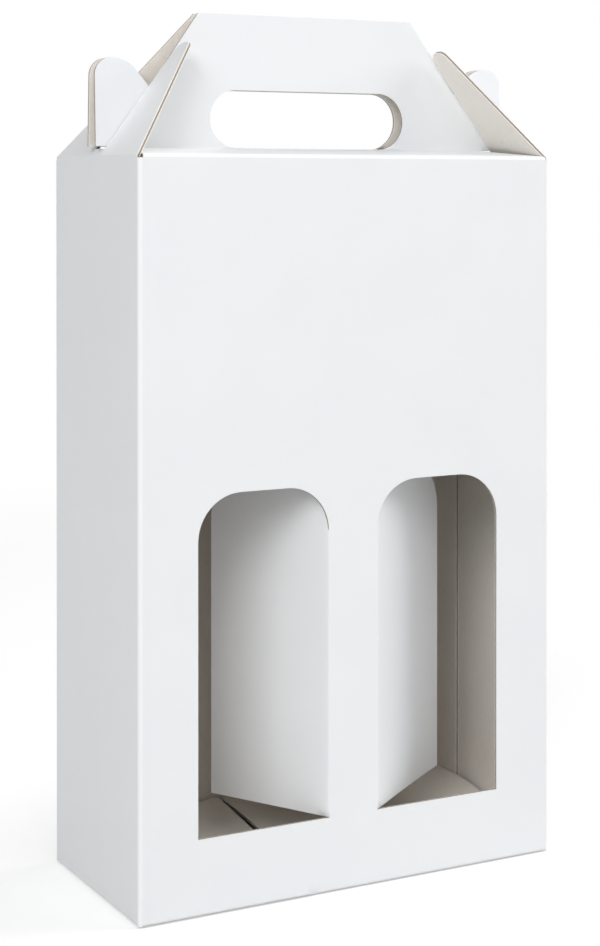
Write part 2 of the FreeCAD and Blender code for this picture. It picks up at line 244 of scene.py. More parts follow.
def inside(points, outlines):
    """True where a ray to the right crosses the outlines an odd number of times."""
    starts = np.concatenate(outlines)
    ends = np.concatenate([np.roll(outline, -1, axis=0) for outline in outlines])
    result = []
    for block in np.array_split(points, max(1, len(points) // 1500)):
        u, v = block[:, 0, None], block[:, 1, None]
        spans = (starts[:, 1] > v) != (ends[:, 1] > v)
        rise = np.where(spans, ends[:, 1] - starts[:, 1], 1.0)
        crossing = starts[:, 0] + (v - starts[:, 1]) / rise * (ends[:, 0] - starts[:, 0])
        result.append(np.sum(spans & (crossing > u), axis=1) % 2 == 1)
    return np.concatenate(result)


def clear_of(points, outlines, least=0.08):
    """True where a point is further than least from every outline edge."""
    starts = np.concatenate(outlines)
    steps = np.concatenate([np.roll(outline, -1, axis=0) - outline for outline in outlines])
    squares = np.maximum(np.sum(steps**2, axis=1), 1e-12)
    result = []
    for block in np.array_split(points, max(1, len(points) // 1500)):
        offset = block[:, None] - starts
        share = np.clip(np.sum(offset * steps, axis=2) / squares, 0, 1)
        result.append(np.min(np.sum((offset - share[..., None] * steps) ** 2, axis=2), axis=1) > least**2)
    return np.concatenate(result)


# %% [markdown]
# ## From blank to board
#
# Real board has a thickness that shows at every cut edge, so each blank becomes a closed shell: an outer face,
# an inner face and a rim between them. The rim is slightly rounded, as a die leaves it. Its texture coordinates
# are the distance along the edge and the share of the depth, which lets a material draw the flutes there.
# Faces carry one of three finishes: the white outside, the inside, or the cut edge. Along a fold line, where a
# flap turns, the rim is a round knuckle that keeps the finishes of the two faces.


# %% Fill a blank with triangles
def filled(outlines, lines):
    """The blank's points, outlines first, and the triangles between them and the lattice points inside."""
    grid = np.stack(np.meshgrid(*lines), axis=-1).reshape(-1, 2)
    grid = grid[inside(grid, outlines)]
    grid = grid[clear_of(grid, outlines)]
    flat = np.concatenate([*outlines, grid])
    edges, first = [], 0
    for outline in outlines:
        ids = first + np.arange(len(outline))
        edges += np.stack([ids, np.roll(ids, -1)], axis=1).tolist()
        first += len(outline)
    found = delaunay_2d_cdt([Vector(point) for point in flat], edges, [], 0, 1e-6)
    source = np.array([ids[0] for ids in found[3]])
    triangles = source[np.array(found[2])]
    return flat, triangles[inside(flat[triangles].mean(axis=1), outlines)]


# %% Carry the rim from face to face
OUTSIDE, INSIDE_FACE, CUT_EDGE = 0, 1, 2
RIM_STEPS = 8
RIM_BULGE = 0.09
HINGE_BULGE = HALF_BOARD + 0.03


def no_hinge(outline):
    """The answer for a piece that has no hinged edge: which outline points are on it, and where it bulges."""
    return np.zeros(len(outline), bool), np.zeros(2)


def rim(outline, outer, inner, total, place, on_hinge):
    """The new points, quads, texture coordinates and finishes of one outline's rim, and its cut points.

    A rim point at share k of the way round lies at depth board * (1 - cos(pi k)) / 2 and stands out of
    the blank's outline by bulge * sin(pi k). On a hinge edge the bulge is half the board, a round knuckle.
    outer and inner number the outline's points on the two faces, and new points are numbered from total.
    """
    size = len(outline)
    step = np.roll(outline, -1, axis=0) - np.roll(outline, 1, axis=0)
    out = np.stack([step[:, 1], -step[:, 0]], axis=1) / np.linalg.norm(step, axis=1)[:, None]
    hinge, direction = on_hinge(outline)
    out[hinge] = direction
    bulge = np.where(hinge, HINGE_BULGE, RIM_BULGE)
    knuckle = hinge & np.roll(hinge, -1)
    points, rows = [], [outer]
    for k in range(1, RIM_STEPS):
        angle = math.pi * k / RIM_STEPS
        moved = outline + out * (bulge * math.sin(angle))[:, None]
        points.append(place(*moved.T, np.full(size, BOARD * (1 - math.cos(angle)) / 2)))
        rows.append(np.arange(total, total + size))
        total += size
    rows.append(inner)
    length = np.linalg.norm(np.roll(outline, -1, axis=0) - outline, axis=1)
    run = np.concatenate([[0.0], np.cumsum(length)]) * MM
    quads, uv, kinds = [], [], []
    for k, (row, below) in enumerate(zip(rows, rows[1:])):
        quads.append(np.stack([row, below, np.roll(below, -1), np.roll(row, -1)], axis=1))
        turn = [(run[:-1], k), (run[:-1], k + 1), (run[1:], k + 1), (run[1:], k)]
        uv.append(np.stack([np.stack([u, np.full(size, v / RIM_STEPS)], axis=1) for u, v in turn], axis=1))
        kinds.append(np.where(knuckle, INSIDE_FACE if 2 * k >= RIM_STEPS else OUTSIDE, CUT_EDGE))
    return points, quads, uv, kinds, ~hinge


# %% Build a piece of board from its blank
def cut_board(name, corners, holes, lines, place, on_hinge=no_hinge):
    """A closed mesh of the blank, folded by place(u, v, depth), which gives points in millimetres."""
    outlines = [turned_about(across_lattice(rounded(corners), *lines), True)]
    outlines += [turned_about(across_lattice(rounded(hole), *lines), False) for hole in holes]
    flat, triangles = filled(outlines, lines)
    count = len(flat)
    points = [place(*flat.T, np.zeros(count)), place(*flat.T, np.full(count, BOARD))]
    uv = [flat[triangles] * MM, flat[triangles][:, ::-1] * MM]
    kinds = [np.repeat([OUTSIDE, INSIDE_FACE], len(triangles))]
    quads = []
    sharp = np.zeros(2 * count, bool)
    first, total = 0, 2 * count
    for outline in outlines:
        outer = first + np.arange(len(outline))
        made, *rest, cut = rim(outline, outer, count + outer, total, place, on_hinge)
        points += made
        for kept, new in zip((quads, uv, kinds), rest):
            kept.extend(new)
        sharp[outer[cut]] = sharp[count + outer[cut]] = True
        first += len(outline)
        total += sum(map(len, made))

    faces = [*triangles.tolist(), *(triangles[:, ::-1] + count).tolist(), *np.concatenate(quads).tolist()]
    mesh = bpy.data.meshes.new(name)
    mesh.from_pydata(np.concatenate(points) * MM, [], faces)
    mesh.polygons.foreach_set("material_index", np.concatenate(kinds).astype(np.int32))
    mesh.polygons.foreach_set("use_smooth", np.ones(len(faces), bool))
    uv = np.concatenate([part.reshape(-1, 2) for part in uv])
    mesh.uv_layers.new(name="blank").uv.foreach_set("vector", uv.ravel().astype(np.float32))
    ends = np.empty(2 * len(mesh.edges), np.int32)
    mesh.edges.foreach_get("vertices", ends)
    ends = ends.reshape(-1, 2)
    sharp = np.concatenate([sharp, np.zeros(total - 2 * count, bool)])
    on_face_edge = sharp[ends].all(axis=1) & ((ends[:, 0] < count) == (ends[:, 1] < count))
    mesh.attributes.new("sharp_edge", "BOOLEAN", "EDGE").data.foreach_set("value", on_face_edge)
    mesh.update()
    piece = bpy.data.objects.new(name, mesh)
    bpy.context.scene.collection.objects.link(piece)
    print(f"{name}: {len(faces)} faces, outline {sum(map(len, outlines))} points, {len(holes)} holes")
    return piece


# %% [markdown]
# ## The box's own lines
#
# Seen from above, the sheet starts with the seam tab inside the right wall, goes round the back, the left side
# and the front, and ends with the right wall over the tab. Seen from the side, each wall comes up from its
# bottom flap. The front and back walls go on over the roof and up into the handle.

# %% The walls from above
INSIDE = WIDTH / 2 - BOARD - SEAM_GAP
ROUND = (90.0, FOLD)
back_run = INSIDE - FOLD + WIDTH / 2 - FOLD
side_run = DEPTH - 2 * FOLD
front_run = WIDTH - 2 * FOLD
tab_run = SEAM_WIDTH - FOLD
plan = FoldedLine(
    start=(INSIDE, DEPTH / 2 - SEAM_WIDTH),
    heading=90,
    parts=[tab_run, ROUND, back_run, ROUND, side_run, ROUND, front_run, ROUND, side_run + FOLD - 0.3],
)
_, TAB_END, BACK_START, BACK_END, LEFT_START, LEFT_END, FRONT_START, FRONT_END, RIGHT_START, SHEET_END = (
    plan.ends
)
BACK_MIDDLE = BACK_START + INSIDE - FOLD
LEFT_MIDDLE = (LEFT_START + LEFT_END) / 2
FRONT_MIDDLE = (FRONT_START + FRONT_END) / 2
RIGHT_MIDDLE = RIGHT_START + side_run / 2

# %% The walls from the side
roof_slope = math.degrees(math.atan2(ROOF_RISE, DEPTH / 2 - HANDLE_BASE))
handle_lean = math.degrees(math.atan2(HANDLE_BASE - HANDLE_TOP, HANDLE_HEIGHT - ROOF_RISE))
top_turn, base_turn = 90 - roof_slope, -(90 - roof_slope - handle_lean)
roof_length = math.hypot(ROOF_RISE, DEPTH / 2 - HANDLE_BASE)
top_reach = FOLD * math.tan(math.radians(top_turn / 2))
base_reach = CREASE * math.tan(math.radians(-base_turn / 2))
handle_length = math.hypot(HANDLE_BASE - HANDLE_TOP, HANDLE_HEIGHT - ROOF_RISE)


def wall_line(half_span, flap, bottom, roofed):
    """A wall's line from its bottom flap's free edge upwards, with height as its distance on the wall."""
    parts = [flap, (90.0, BOTTOM_FOLD)]
    if roofed:
        parts += [HEIGHT - top_reach - bottom - BOTTOM_FOLD, (top_turn, FOLD)]
        parts += [roof_length - top_reach - base_reach, (base_turn, CREASE), handle_length - base_reach]
    else:
        parts += [HEIGHT - HALF_BOARD - bottom - BOTTOM_FOLD]
    start = (half_span - BOTTOM_FOLD - flap, bottom)
    return FoldedLine(start, 0, parts, zero_at=2, zero_value=bottom + BOTTOM_FOLD)


FLAT_BOTTOM = 0.0
RAISED_BOTTOM = 0.3
FRONT_FLAP, BACK_FLAP, SIDE_FLAP = 89.0, 82.0, 76.4
front_line = wall_line(DEPTH / 2, FRONT_FLAP, RAISED_BOTTOM, True)
back_line = wall_line(DEPTH / 2, BACK_FLAP, FLAT_BOTTOM, True)
side_line = wall_line(WIDTH / 2, SIDE_FLAP, RAISED_BOTTOM, False)
ROOF_START, ROOF_FOLD_END = front_line.ends[3:5]
HANDLE_START = front_line.ends[6] - base_reach
HANDLE_END = front_line.ends[7]
print(f"blank {SHEET_END:.0f} mm long, wall to handle top {HANDLE_END:.0f} mm")


# %% [markdown]
# ## Folding the whole sheet
#
# One function places any point of the sheet. It works out the walls from above, then lets each wall's own line
# take over, so a flap turns under and a roof turns over. The bottom flaps don't lie flat in the real carton:
# the front one bows up and the left one climbs towards the back, which is why the floor is uneven behind the
# windows. A smooth lift, added to the height, gives that.


# %% Fold the sheet
FRONT_BOW, FRONT_CREST = 13.4, 0.93
FRONT_LIFT, FRONT_LIFT_SHARE = 1.3, 0.08
SIDE_LIFT, SIDE_LIFT_SHARE = 1.4, 0.06
LEFT_CLIMB, LEFT_SLANT = 9.0, 6.2
EAR_REACH = 3.0


def eased(share):
    """A smooth step from 0 to 1: three times the square less twice the cube."""
    share = np.clip(share, 0, 1)
    return share * share * (3 - 2 * share)


def fold_sheet(u, v, depth):
    """The place of blank point (u, v) at a depth, with u along the walls and v up them.

    A wall's own line takes over between its folds, and at its ears above the shoulders. Under the box the
    front flap rises by bow * sin(share / crest * pi / 2), and the left one in step with its length.
    """
    x, y = plan.at(u, depth).T
    z = v.copy()
    roofed = v > HEIGHT
    panels = [
        (front_line, u - FRONT_MIDDLE, FRONT_START, FRONT_END, WIDTH / 2 + EAR_REACH, (1, 0), (0, -1)),
        (back_line, u - BACK_MIDDLE, BACK_START, BACK_END, WIDTH / 2 + EAR_REACH, (-1, 0), (0, 1)),
        (side_line, u - LEFT_MIDDLE, LEFT_START, LEFT_END, 0, (0, -1), (-1, 0)),
        (side_line, u - RIGHT_MIDDLE, RIGHT_START, SHEET_END, 0, (0, 1), (1, 0)),
    ]
    for line, along, start, end, reach, (along_x, along_y), (out_x, out_y) in panels:
        here = (u >= start - 1e-6) & (u <= end + 1e-6) & ((v < HEIGHT) | (reach > 0))
        here |= roofed & (np.abs(along) < reach)
        out, up = line.at(v, depth).T
        x = np.where(here, along * along_x + out * out_x, x)
        y = np.where(here, along * along_y + out * out_y, y)
        z = np.where(here, up, z)
    under = np.clip(-v / FRONT_FLAP, 0, 1)
    front, back = np.abs(u - FRONT_MIDDLE) < WIDTH / 2, np.abs(u - BACK_MIDDLE) < WIDTH / 2
    left, right = np.abs(u - LEFT_MIDDLE) < DEPTH / 2, np.abs(u - RIGHT_MIDDLE) < DEPTH / 2
    bow = FRONT_BOW * np.sin(np.pi / 2 * np.clip(under / FRONT_CREST, 0, 1))
    bow = bow + FRONT_LIFT * eased(under / FRONT_LIFT_SHARE)
    climb = under * FRONT_FLAP / SIDE_FLAP * (LEFT_CLIMB - LEFT_SLANT * (u - LEFT_MIDDLE) / (DEPTH / 2))
    side_lift = SIDE_LIFT * eased(under / SIDE_LIFT_SHARE)
    z = z + np.where(front, bow, 0) + np.where(left, climb + side_lift, 0)
    z = z + np.where(right, side_lift, 0) * ~(front | back)
    return np.stack([x, y, z], axis=-1)


# %% [markdown]
# ## The sheet's outline
#
# The outline runs once round the blank: along the bottom flaps, up the raw end of the right wall, and back over
# both roofs and handle panels. A handle panel stands on its roof half, and its rounded ears reach past the roof
# on both sides, to hold the locking flaps. The windows and the two handholds are holes.

# %% Outline and holes of the sheet
EAR_BOTTOM, EAR_TOP = 0.6, 38.0
EAR_OUTER_ROUND, EAR_INNER_ROUND = 7.5, 15.0
WALL_TOP = ROOF_START - 0.15
WALL_BOTTOM = 0.5
ROOF_HALF, ROOF_HALF_TOP = WIDTH / 2 - 2.0, WIDTH / 2 - 9.0
EAR_HALF, EAR_CREST_HALF = WIDTH / 2 + EAR_OVERHANG - 0.1, WIDTH / 2 - 13.2
HANDLE_TOP_HALF = 53.2
SIDE_TOP_HALF = 44.1


def roof_and_handle(middle, notch):
    """Corners over one roof half, from right to left. The ear's inner corner lies notch in and up."""
    right = [
        (ROOF_HALF, WALL_TOP),
        (ROOF_HALF_TOP, HANDLE_START - 0.4),
        (ROOF_HALF_TOP, HANDLE_START + EAR_BOTTOM),
        (EAR_HALF, HANDLE_START + EAR_BOTTOM),
        (EAR_HALF, HANDLE_START + EAR_TOP, EAR_OUTER_ROUND),
        (EAR_CREST_HALF, HANDLE_START + EAR_TOP, EAR_INNER_ROUND),
        (WIDTH / 2 - notch[0], HANDLE_START + notch[1], 1.0),
        (HANDLE_TOP_HALF, HANDLE_END, 0.8),
    ]
    left = [(-corner[0], *corner[1:]) for corner in reversed(right)]
    return [(middle + corner[0], *corner[1:]) for corner in right + left]


def below(middle, left, right, end, slant=0.0):
    """Corners of a bottom flap between left and right of a wall's middle, down to its free edge."""
    low = BOTTOM_FOLD * (1 - math.pi / 2) - end
    return [
        (middle + left, WALL_BOTTOM),
        (middle + left + slant, low, 3.0),
        (middle + right - slant, low, 3.0),
        (middle + right, WALL_BOTTOM),
    ]


def wall_top(middle):
    """Corners of a side wall's top fold, from right to left."""
    right, left, top = middle + SIDE_TOP_HALF, middle - SIDE_TOP_HALF, HEIGHT - HALF_BOARD
    return [(right, WALL_TOP), (right, top), (left, top), (left, WALL_TOP)]


TAB_FOOT, TAB_HEAD = (12.0, 4.0), (14.0, 6.0)
WALL_FROM_TAB = TAB_END + 0.4
sheet_corners = [
    (0.0, TAB_FOOT[0]),
    (TAB_END, TAB_FOOT[1]),
    (WALL_FROM_TAB, WALL_BOTTOM),
    *below(BACK_MIDDLE, left=-91.0, right=91.0, end=BACK_FLAP, slant=1.0),
    *below(LEFT_MIDDLE, left=-43.4, right=43.4, end=SIDE_FLAP - 0.2, slant=0.5),
    *below(FRONT_MIDDLE, left=-20.2, right=96.2, end=FRONT_FLAP - 0.5),
    *below(RIGHT_MIDDLE, left=-31.0, right=43.2, end=SIDE_FLAP - 1.0, slant=0.5),
    (SHEET_END, WALL_BOTTOM),
    (SHEET_END, WALL_TOP),
    *wall_top(RIGHT_MIDDLE),
    *roof_and_handle(FRONT_MIDDLE, notch=(23.5, 25.6)),
    *wall_top(LEFT_MIDDLE),
    *roof_and_handle(BACK_MIDDLE, notch=(19.6, 30.5)),
    (WALL_FROM_TAB, WALL_TOP),
    (TAB_END, HEIGHT - TAB_HEAD[1]),
    (0.0, HEIGHT - TAB_HEAD[0]),
]

HOLE_WIDTH, HOLE_HEIGHT = 97.0, 25.2


def handhold(middle):
    """A slot with round ends, standing on the handle's crease."""
    low = HANDLE_START + CREASE + 0.1
    sides = [(-1, 0), (1, 0), (1, 1), (-1, 1)]
    return [
        (middle + side * HOLE_WIDTH / 2, low + up * HOLE_HEIGHT, HOLE_HEIGHT * 0.499) for side, up in sides
    ]


def window(low, high, hinge_shift):
    """A window with round shoulders. hinge_shift takes its hinged side to the middle of the knuckle."""
    low, high = low + FRONT_MIDDLE + hinge_shift[0], high + FRONT_MIDDLE + hinge_shift[1]
    return [
        (low, WINDOW_SILL),
        (high, WINDOW_SILL),
        (high, WINDOW_TOP, WINDOW_ROUND),
        (low, WINDOW_TOP, WINDOW_ROUND),
    ]


sheet_holes = [
    window(*LEFT_WINDOW, (0, HALF_BOARD)),
    window(*RIGHT_WINDOW, (-HALF_BOARD, 0)),
    handhold(FRONT_MIDDLE),
    handhold(BACK_MIDDLE),
]
sheet_lines = (
    lattice(plan.folds(), -4.0, SHEET_END + 1),
    lattice(front_line.folds(), -FRONT_FLAP - 2, HANDLE_END + 1),
)
carton = cut_board("folded_carton", sheet_corners, sheet_holes, sheet_lines, fold_sheet)
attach(carton, "box")
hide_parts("carton")

# %% [markdown]
# ## The flaps that turn
#
# Four flaps are joined to the carton only by a fold line, and move with their own bodies: a locking flap on
# each side wall and a divider flap on each side of the strip between the windows. The locking flaps are flat,
# and the divider flaps keep a slight bow, as board does that has been pushed in. Each hinged edge is a
# half-round knuckle about the fold line, so it covers the end of the board it turns on at every angle.

# %% Place a flap by its fold line
joints = {joint["name"]: joint for joint in frame["joints"]}


def pivot_of(joint):
    """The fold line's point, in millimetres."""
    return np.array(joints[joint]["pos_m"]) / MM


def flap_placer(pivot, across, up, bow=None):
    """Places (u, v, depth) at pivot + u * across + v * up, with the board's middle in that plane."""
    normal = np.cross(across, up)

    def place(u, v, depth):
        lift = HALF_BOARD - depth + (bow(u, v) if bow else 0.0)
        return pivot + u[:, None] * across + v[:, None] * up + lift[:, None] * normal

    return place


def even_lines(low, high, spacing=4.0):
    """Lattice lines for a piece without folds."""
    return np.linspace(low, high, int((high - low) / spacing) + 2)


# %% Locking flaps
LOCK_LEAN = math.radians(37.0)
LOCK_LENGTH = 60.5
LOBE_RADIUS = 4.5
SLOT_HALF, SLOT_BASE = HANDLE_BASE + 0.5, 3.5
LOCK_END = 2.2 - DEPTH / 2


def lobe(shoulder, length, inset, tip):
    """A lobe's corners from its slot to its outer end, on the negative side of the middle."""
    return [
        (-SLOT_HALF, SLOT_BASE),
        (-SLOT_HALF, shoulder, LOBE_RADIUS),
        (inset + tip - DEPTH / 2, length, LOBE_RADIUS),
        (inset - DEPTH / 2, length, LOBE_RADIUS),
        (LOCK_END, 0.4),
        (LOCK_END, 0.0),
    ]


front_lobe = lobe(shoulder=53.0, length=LOCK_LENGTH, inset=30.5, tip=9.0)
back_lobe = lobe(shoulder=36.0, length=43.0, inset=26.0, tip=12.5)


def lock_hinge(outline):
    """The points on the fold line at v = 0, and the way down, where their knuckle bulges."""
    return outline[:, 1] < 0.01, np.array([0.0, -1.0])


for side, name, joint in ((-1, "left_lock", "left_lock_fold"), (1, "right_lock", "right_lock_fold")):
    pivot = pivot_of(joint) * (1, 0, 1)
    across = np.array([0.0, side, 0.0])
    up = np.array([-side * math.sin(LOCK_LEAN), 0.0, math.cos(LOCK_LEAN)])
    lines = even_lines(-DEPTH / 2, DEPTH / 2), even_lines(0.6, LOCK_LENGTH + 1)
    low, high = (front_lobe, back_lobe) if side > 0 else (back_lobe, front_lobe)
    corners = low + [(-corner[0], *corner[1:]) for corner in reversed(high)]
    flap = cut_board(f"{name}_board", corners, [], lines, flap_placer(pivot, across, up), on_hinge=lock_hinge)
    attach(flap, name)
    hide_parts(f"{name}ing_flap")

# %% Divider flaps
FLAP_GAP = 0.45
divider_reach = LEFT_WINDOW[1] - LEFT_WINDOW[0] + HALF_BOARD - FLAP_GAP


def divider_corners(side, trim):
    """The window's cut-out: its hinge at u = 0 and its free edge on the given side."""
    low, high = WINDOW_SILL + FLAP_GAP, WINDOW_TOP - FLAP_GAP
    round_corner = WINDOW_ROUND - FLAP_GAP
    return [
        (0.0, low),
        (side * divider_reach, low + trim),
        (side * divider_reach, high, round_corner),
        (0.0, high, round_corner),
    ]


def divider_bow(height):
    """A bow that grows with the square of the distance from the fold line."""
    return lambda u, v: height * (u / divider_reach) ** 2


for side, name, turn, trim, bow in (
    (-1, "left_divider", 62.4, 0.0, 0.8),
    (1, "right_divider", 35.0, 3.0, 1.6),
):
    angle = side * math.radians(turn)
    across = np.array([math.cos(angle), math.sin(angle), 0.0])
    pivot = pivot_of(f"{name}_fold") * (1, 1, 0)
    lines = even_lines(-divider_reach - 1, divider_reach + 1), even_lines(WINDOW_SILL, WINDOW_TOP + 1)
    flap = cut_board(
        f"{name}_board",
        divider_corners(side, trim),
        [],
        lines,
        flap_placer(pivot, across, np.array([0.0, 0.0, 1.0]), divider_bow(bow)),
        on_hinge=lambda outline, side=side: (np.abs(outline[:, 0]) < 0.01, np.array([-side, 0.0])),
    )
    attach(flap, name)
    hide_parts(f"{name}_flap")

# %% [markdown]
# ## Finishes
#
# A shader graph is easier to read as sums. The class below wraps a socket, and an expression on it adds the
# Math nodes. Every other node comes from one method.


# %% Shader maths as Python expressions
class Wire:
    """A socket that can be added, subtracted and multiplied."""

    def __init__(self, socket):
        self.socket = socket

    def _math(self, operation, first, second):
        sockets = {0: first, 1: second}
        return Graph(self.socket.id_data).node("ShaderNodeMath", {"operation": operation}, sockets)

    def __add__(self, other):
        return self._math("ADD", self, other)

    def __sub__(self, other):
        return self._math("SUBTRACT", self, other)

    def __rsub__(self, other):
        return self._math("SUBTRACT", other, self)

    def __mul__(self, other):
        return self._math("MULTIPLY", self, other)

    def __abs__(self):
        return self._math("ABSOLUTE", self, 0.0)

    __radd__ = __add__
    __rmul__ = __mul__


class Graph:
    """A material's nodes."""

    def __init__(self, tree):
        self.tree = tree

    def node(self, kind, settings=None, sockets=None, output=0):
        """Adds a node, makes its settings, then gives its sockets values or links."""
        made = self.tree.nodes.new(kind)
        for name, value in (settings or {}).items():
            setattr(made, name, value)
        for name, value in (sockets or {}).items():
            if isinstance(value, Wire):
                self.tree.links.new(value.socket, made.inputs[name])
            else:
                made.inputs[name].default_value = value
        return None if output is None else Wire(made.outputs[output])


def finish(name):
    """A new material with an empty graph."""
    material = bpy.data.materials.new(name)
    material.use_nodes = True
    material.node_tree.nodes.clear()
    return material, Graph(material.node_tree)


def surface(graph, color, roughness, normal):
    """Ends a graph in a Principled surface."""
    inputs = {"Base Color": color, "Roughness": roughness, "Normal": normal, "IOR": 1.4}
    shader = graph.node("ShaderNodeBsdfPrincipled", {}, inputs)
    graph.node("ShaderNodeOutputMaterial", {}, {"Surface": shader}, output=None)


def mixed(graph, factor, first, second):
    """A colour between first and second."""
    sockets = {"Factor": factor, 6: first, 7: second}
    return graph.node("ShaderNodeMix", {"data_type": "RGBA"}, sockets, output=2)


def ramped(graph, value, low, high):
    """0 up to low, 1 from high, and a smooth step between."""
    sockets = {"Value": value, "From Min": low, "From Max": high}
    return graph.node("ShaderNodeMapRange", {"interpolation_type": "SMOOTHSTEP"}, sockets)


# %% [markdown]
# ### White outside
#
# The outside is clay-coated white liner. It is almost even: the light shows a fine paper grain, and very
# faintly the flutes under it. Those follow the sheet, so they read the blank's own coordinates. So does a
# painted highlight at the creases of the front's sides and top, a lighter line where the folds catch light.

# %% White outside
FLUTE_PITCH = 3.3 * MM
CREASE_WIDTH = 1.5 * MM


def blank_axes(graph):
    """The texture coordinates of the blank: together, along the sheet (or an edge), and up it (or through)."""
    blank = graph.node("ShaderNodeUVMap", {"uv_map": "blank"})
    return blank, *(graph.node("ShaderNodeSeparateXYZ", {}, {0: blank}, output=axis) for axis in (0, 1))


def paper(graph, along, flute_height, grain_height, cloud_height, depth):
    """The relief that coated and plain liner share: flutes along the blank, grain and slow waves."""
    spot = graph.node("ShaderNodeTexCoord", output=3)
    flute = graph.node("ShaderNodeMath", {"operation": "SINE"}, {0: along * (2 * math.pi / FLUTE_PITCH)})
    grain = graph.node("ShaderNodeTexNoise", {}, {"Vector": spot, "Scale": 1700.0, "Detail": 3.0})
    cloud = graph.node("ShaderNodeTexNoise", {}, {"Vector": spot, "Scale": 24.0, "Detail": 2.0})
    height = flute * flute_height + grain * grain_height + cloud * cloud_height
    bump = {"Strength": 1.0, "Distance": depth, "Height": height}
    return grain, cloud, graph.node("ShaderNodeBump", {}, bump)


COAT, COAT_LIGHT, COAT_PAINTED_HIGHLIGHT = (0.868, 0.885, 0.903, 1), (0.882, 0.897, 0.913, 1), (0.955, 0.962, 0.97, 1)

white_outside, graph = finish("white_outside")
blank, across, up = blank_axes(graph)
grain, cloud, relief = paper(graph, across, 0.05, 0.30, 1.0, 0.03 * MM)
color = mixed(graph, ramped(graph, cloud, 0.3, 0.7), COAT, COAT_LIGHT)
on_walls = 1 - ramped(graph, up, (HEIGHT - 1) * MM, HEIGHT * MM)
on_front = 1 - ramped(graph, abs(across - FRONT_MIDDLE * MM), (WIDTH / 2 - 1) * MM, WIDTH / 2 * MM)
# Painted highlight: a lighter band of coat colour along the front's two side folds and its top fold.
for place, fold, where in (
    (across, (LEFT_END + FRONT_START) / 2, on_walls),
    (across, (FRONT_END + RIGHT_START) / 2, on_walls),
    (up, (ROOF_START + ROOF_FOLD_END) / 2, on_front),
):
    near = 1 - ramped(graph, abs(place - fold * MM), CREASE_WIDTH / 2, CREASE_WIDTH)
    color = mixed(graph, near * where, color, COAT_PAINTED_HIGHLIGHT)
surface(graph, color, grain * 0.12 + 0.46, relief)

# %% [markdown]
# ### Plain inside
#
# The inside liner isn't coated. It is a warm grey with short fibres and small specks of recycled pulp, and it
# is duller. The fibres are a noise stretched along the sheet.

# %% Grey-brown inside
LINER, LINER_LIGHT, LINER_SPECK = (0.850, 0.808, 0.750, 1), (0.872, 0.832, 0.776, 1), (0.55, 0.49, 0.41, 1)

plain_inside, graph = finish("plain_inside")
blank, along, _ = blank_axes(graph)
grain, cloud, relief = paper(graph, along, 0.10, 0.55, 1.0, 0.06 * MM)
stretch = graph.node("ShaderNodeMapping", {}, {0: blank, 3: (1.0, 0.16, 1.0)})
fibres = graph.node("ShaderNodeTexNoise", {}, {"Vector": stretch, "Scale": 900.0, "Detail": 4.0})
specks = graph.node("ShaderNodeTexNoise", {}, {"Vector": blank, "Scale": 420.0, "Detail": 2.0})
base = mixed(graph, ramped(graph, fibres, 0.35, 0.65), LINER, LINER_LIGHT)
color = mixed(graph, ramped(graph, specks, 0.66, 0.74) * 0.3, base, LINER_SPECK)
surface(graph, color, 0.82 + grain * 0.1, relief)

# %% [markdown]
# ### Cut edge
#
# A cut shows the board's papers: a pale coated liner on each side and a thin brown core, the flute, between
# them. Texture coordinate u runs along the edge and v through the board, so the brown paper is where v is near
# a sine of u, and the hollows beside it have a darker colour, painted shade of the open flute channels.

# %% Brown cut edge
BROWN, BROWN_LIGHT, FLUTE_PAINTED_SHADE = (0.40, 0.27, 0.17, 1), (0.52, 0.38, 0.26, 1), (0.24, 0.16, 0.10, 1)
EDGE_COAT = (0.85, 0.85, 0.84, 1)

cut_edge, graph = finish("cut_edge")
blank, along, through = blank_axes(graph)
wobble = graph.node("ShaderNodeTexNoise", {}, {"Vector": blank, "Scale": 300.0, "Detail": 3.0})
wave = graph.node("ShaderNodeMath", {"operation": "SINE"}, {0: along * (2 * math.pi / FLUTE_PITCH)})
from_wave = abs(through - (wave * 0.07 + 0.5) + (wobble - 0.5) * 0.05)
solid = 1 - ramped(graph, from_wave, 0.03, 0.08)
coat = ramped(graph, abs(through - 0.5), 0.12, 0.18)
brown = mixed(graph, ramped(graph, wobble, 0.35, 0.65), BROWN, BROWN_LIGHT)
# Painted shade: in the core, away from the flute paper, the hollows take a dark colour in place of their shade.
color = mixed(graph, coat, mixed(graph, solid, FLUTE_PAINTED_SHADE, brown), EDGE_COAT)
bump = {"Strength": 0.6, "Distance": 0.12 * MM, "Height": solid + wobble * 0.5}
surface(graph, color, 0.85, graph.node("ShaderNodeBump", {}, bump))

# %% Dress the boards
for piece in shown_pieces():
    for material in (white_outside, plain_inside, cut_edge):
        piece.data.materials.append(material)
    print(f"{piece.name}: {[slot.name for slot in piece.data.materials]}")

# %% [markdown]
# ## Floor, light and camera
#
# The photo is a soft studio picture on pure white. The floor glows towards the camera, so it is white where it
# is lit and keeps the shade close to the box, and further away it passes into the white backdrop. A lamp on
# each side throws the locking flaps' soft shadows on the handle panel. The right one only grazes the front,
# which makes it brighter than the left side and leaves the deep ends of the divider flaps dark. A lamp above
# and a fill near the camera give the rest.

# %% Floor
WHITE = (1, 1, 1, 1)
FLOOR_SIZE, FLOOR_TOP = 6.0, -0.0004
FLOOR_GLOW = 0.36
FLOOR_FADE = (0.5, 1.2)

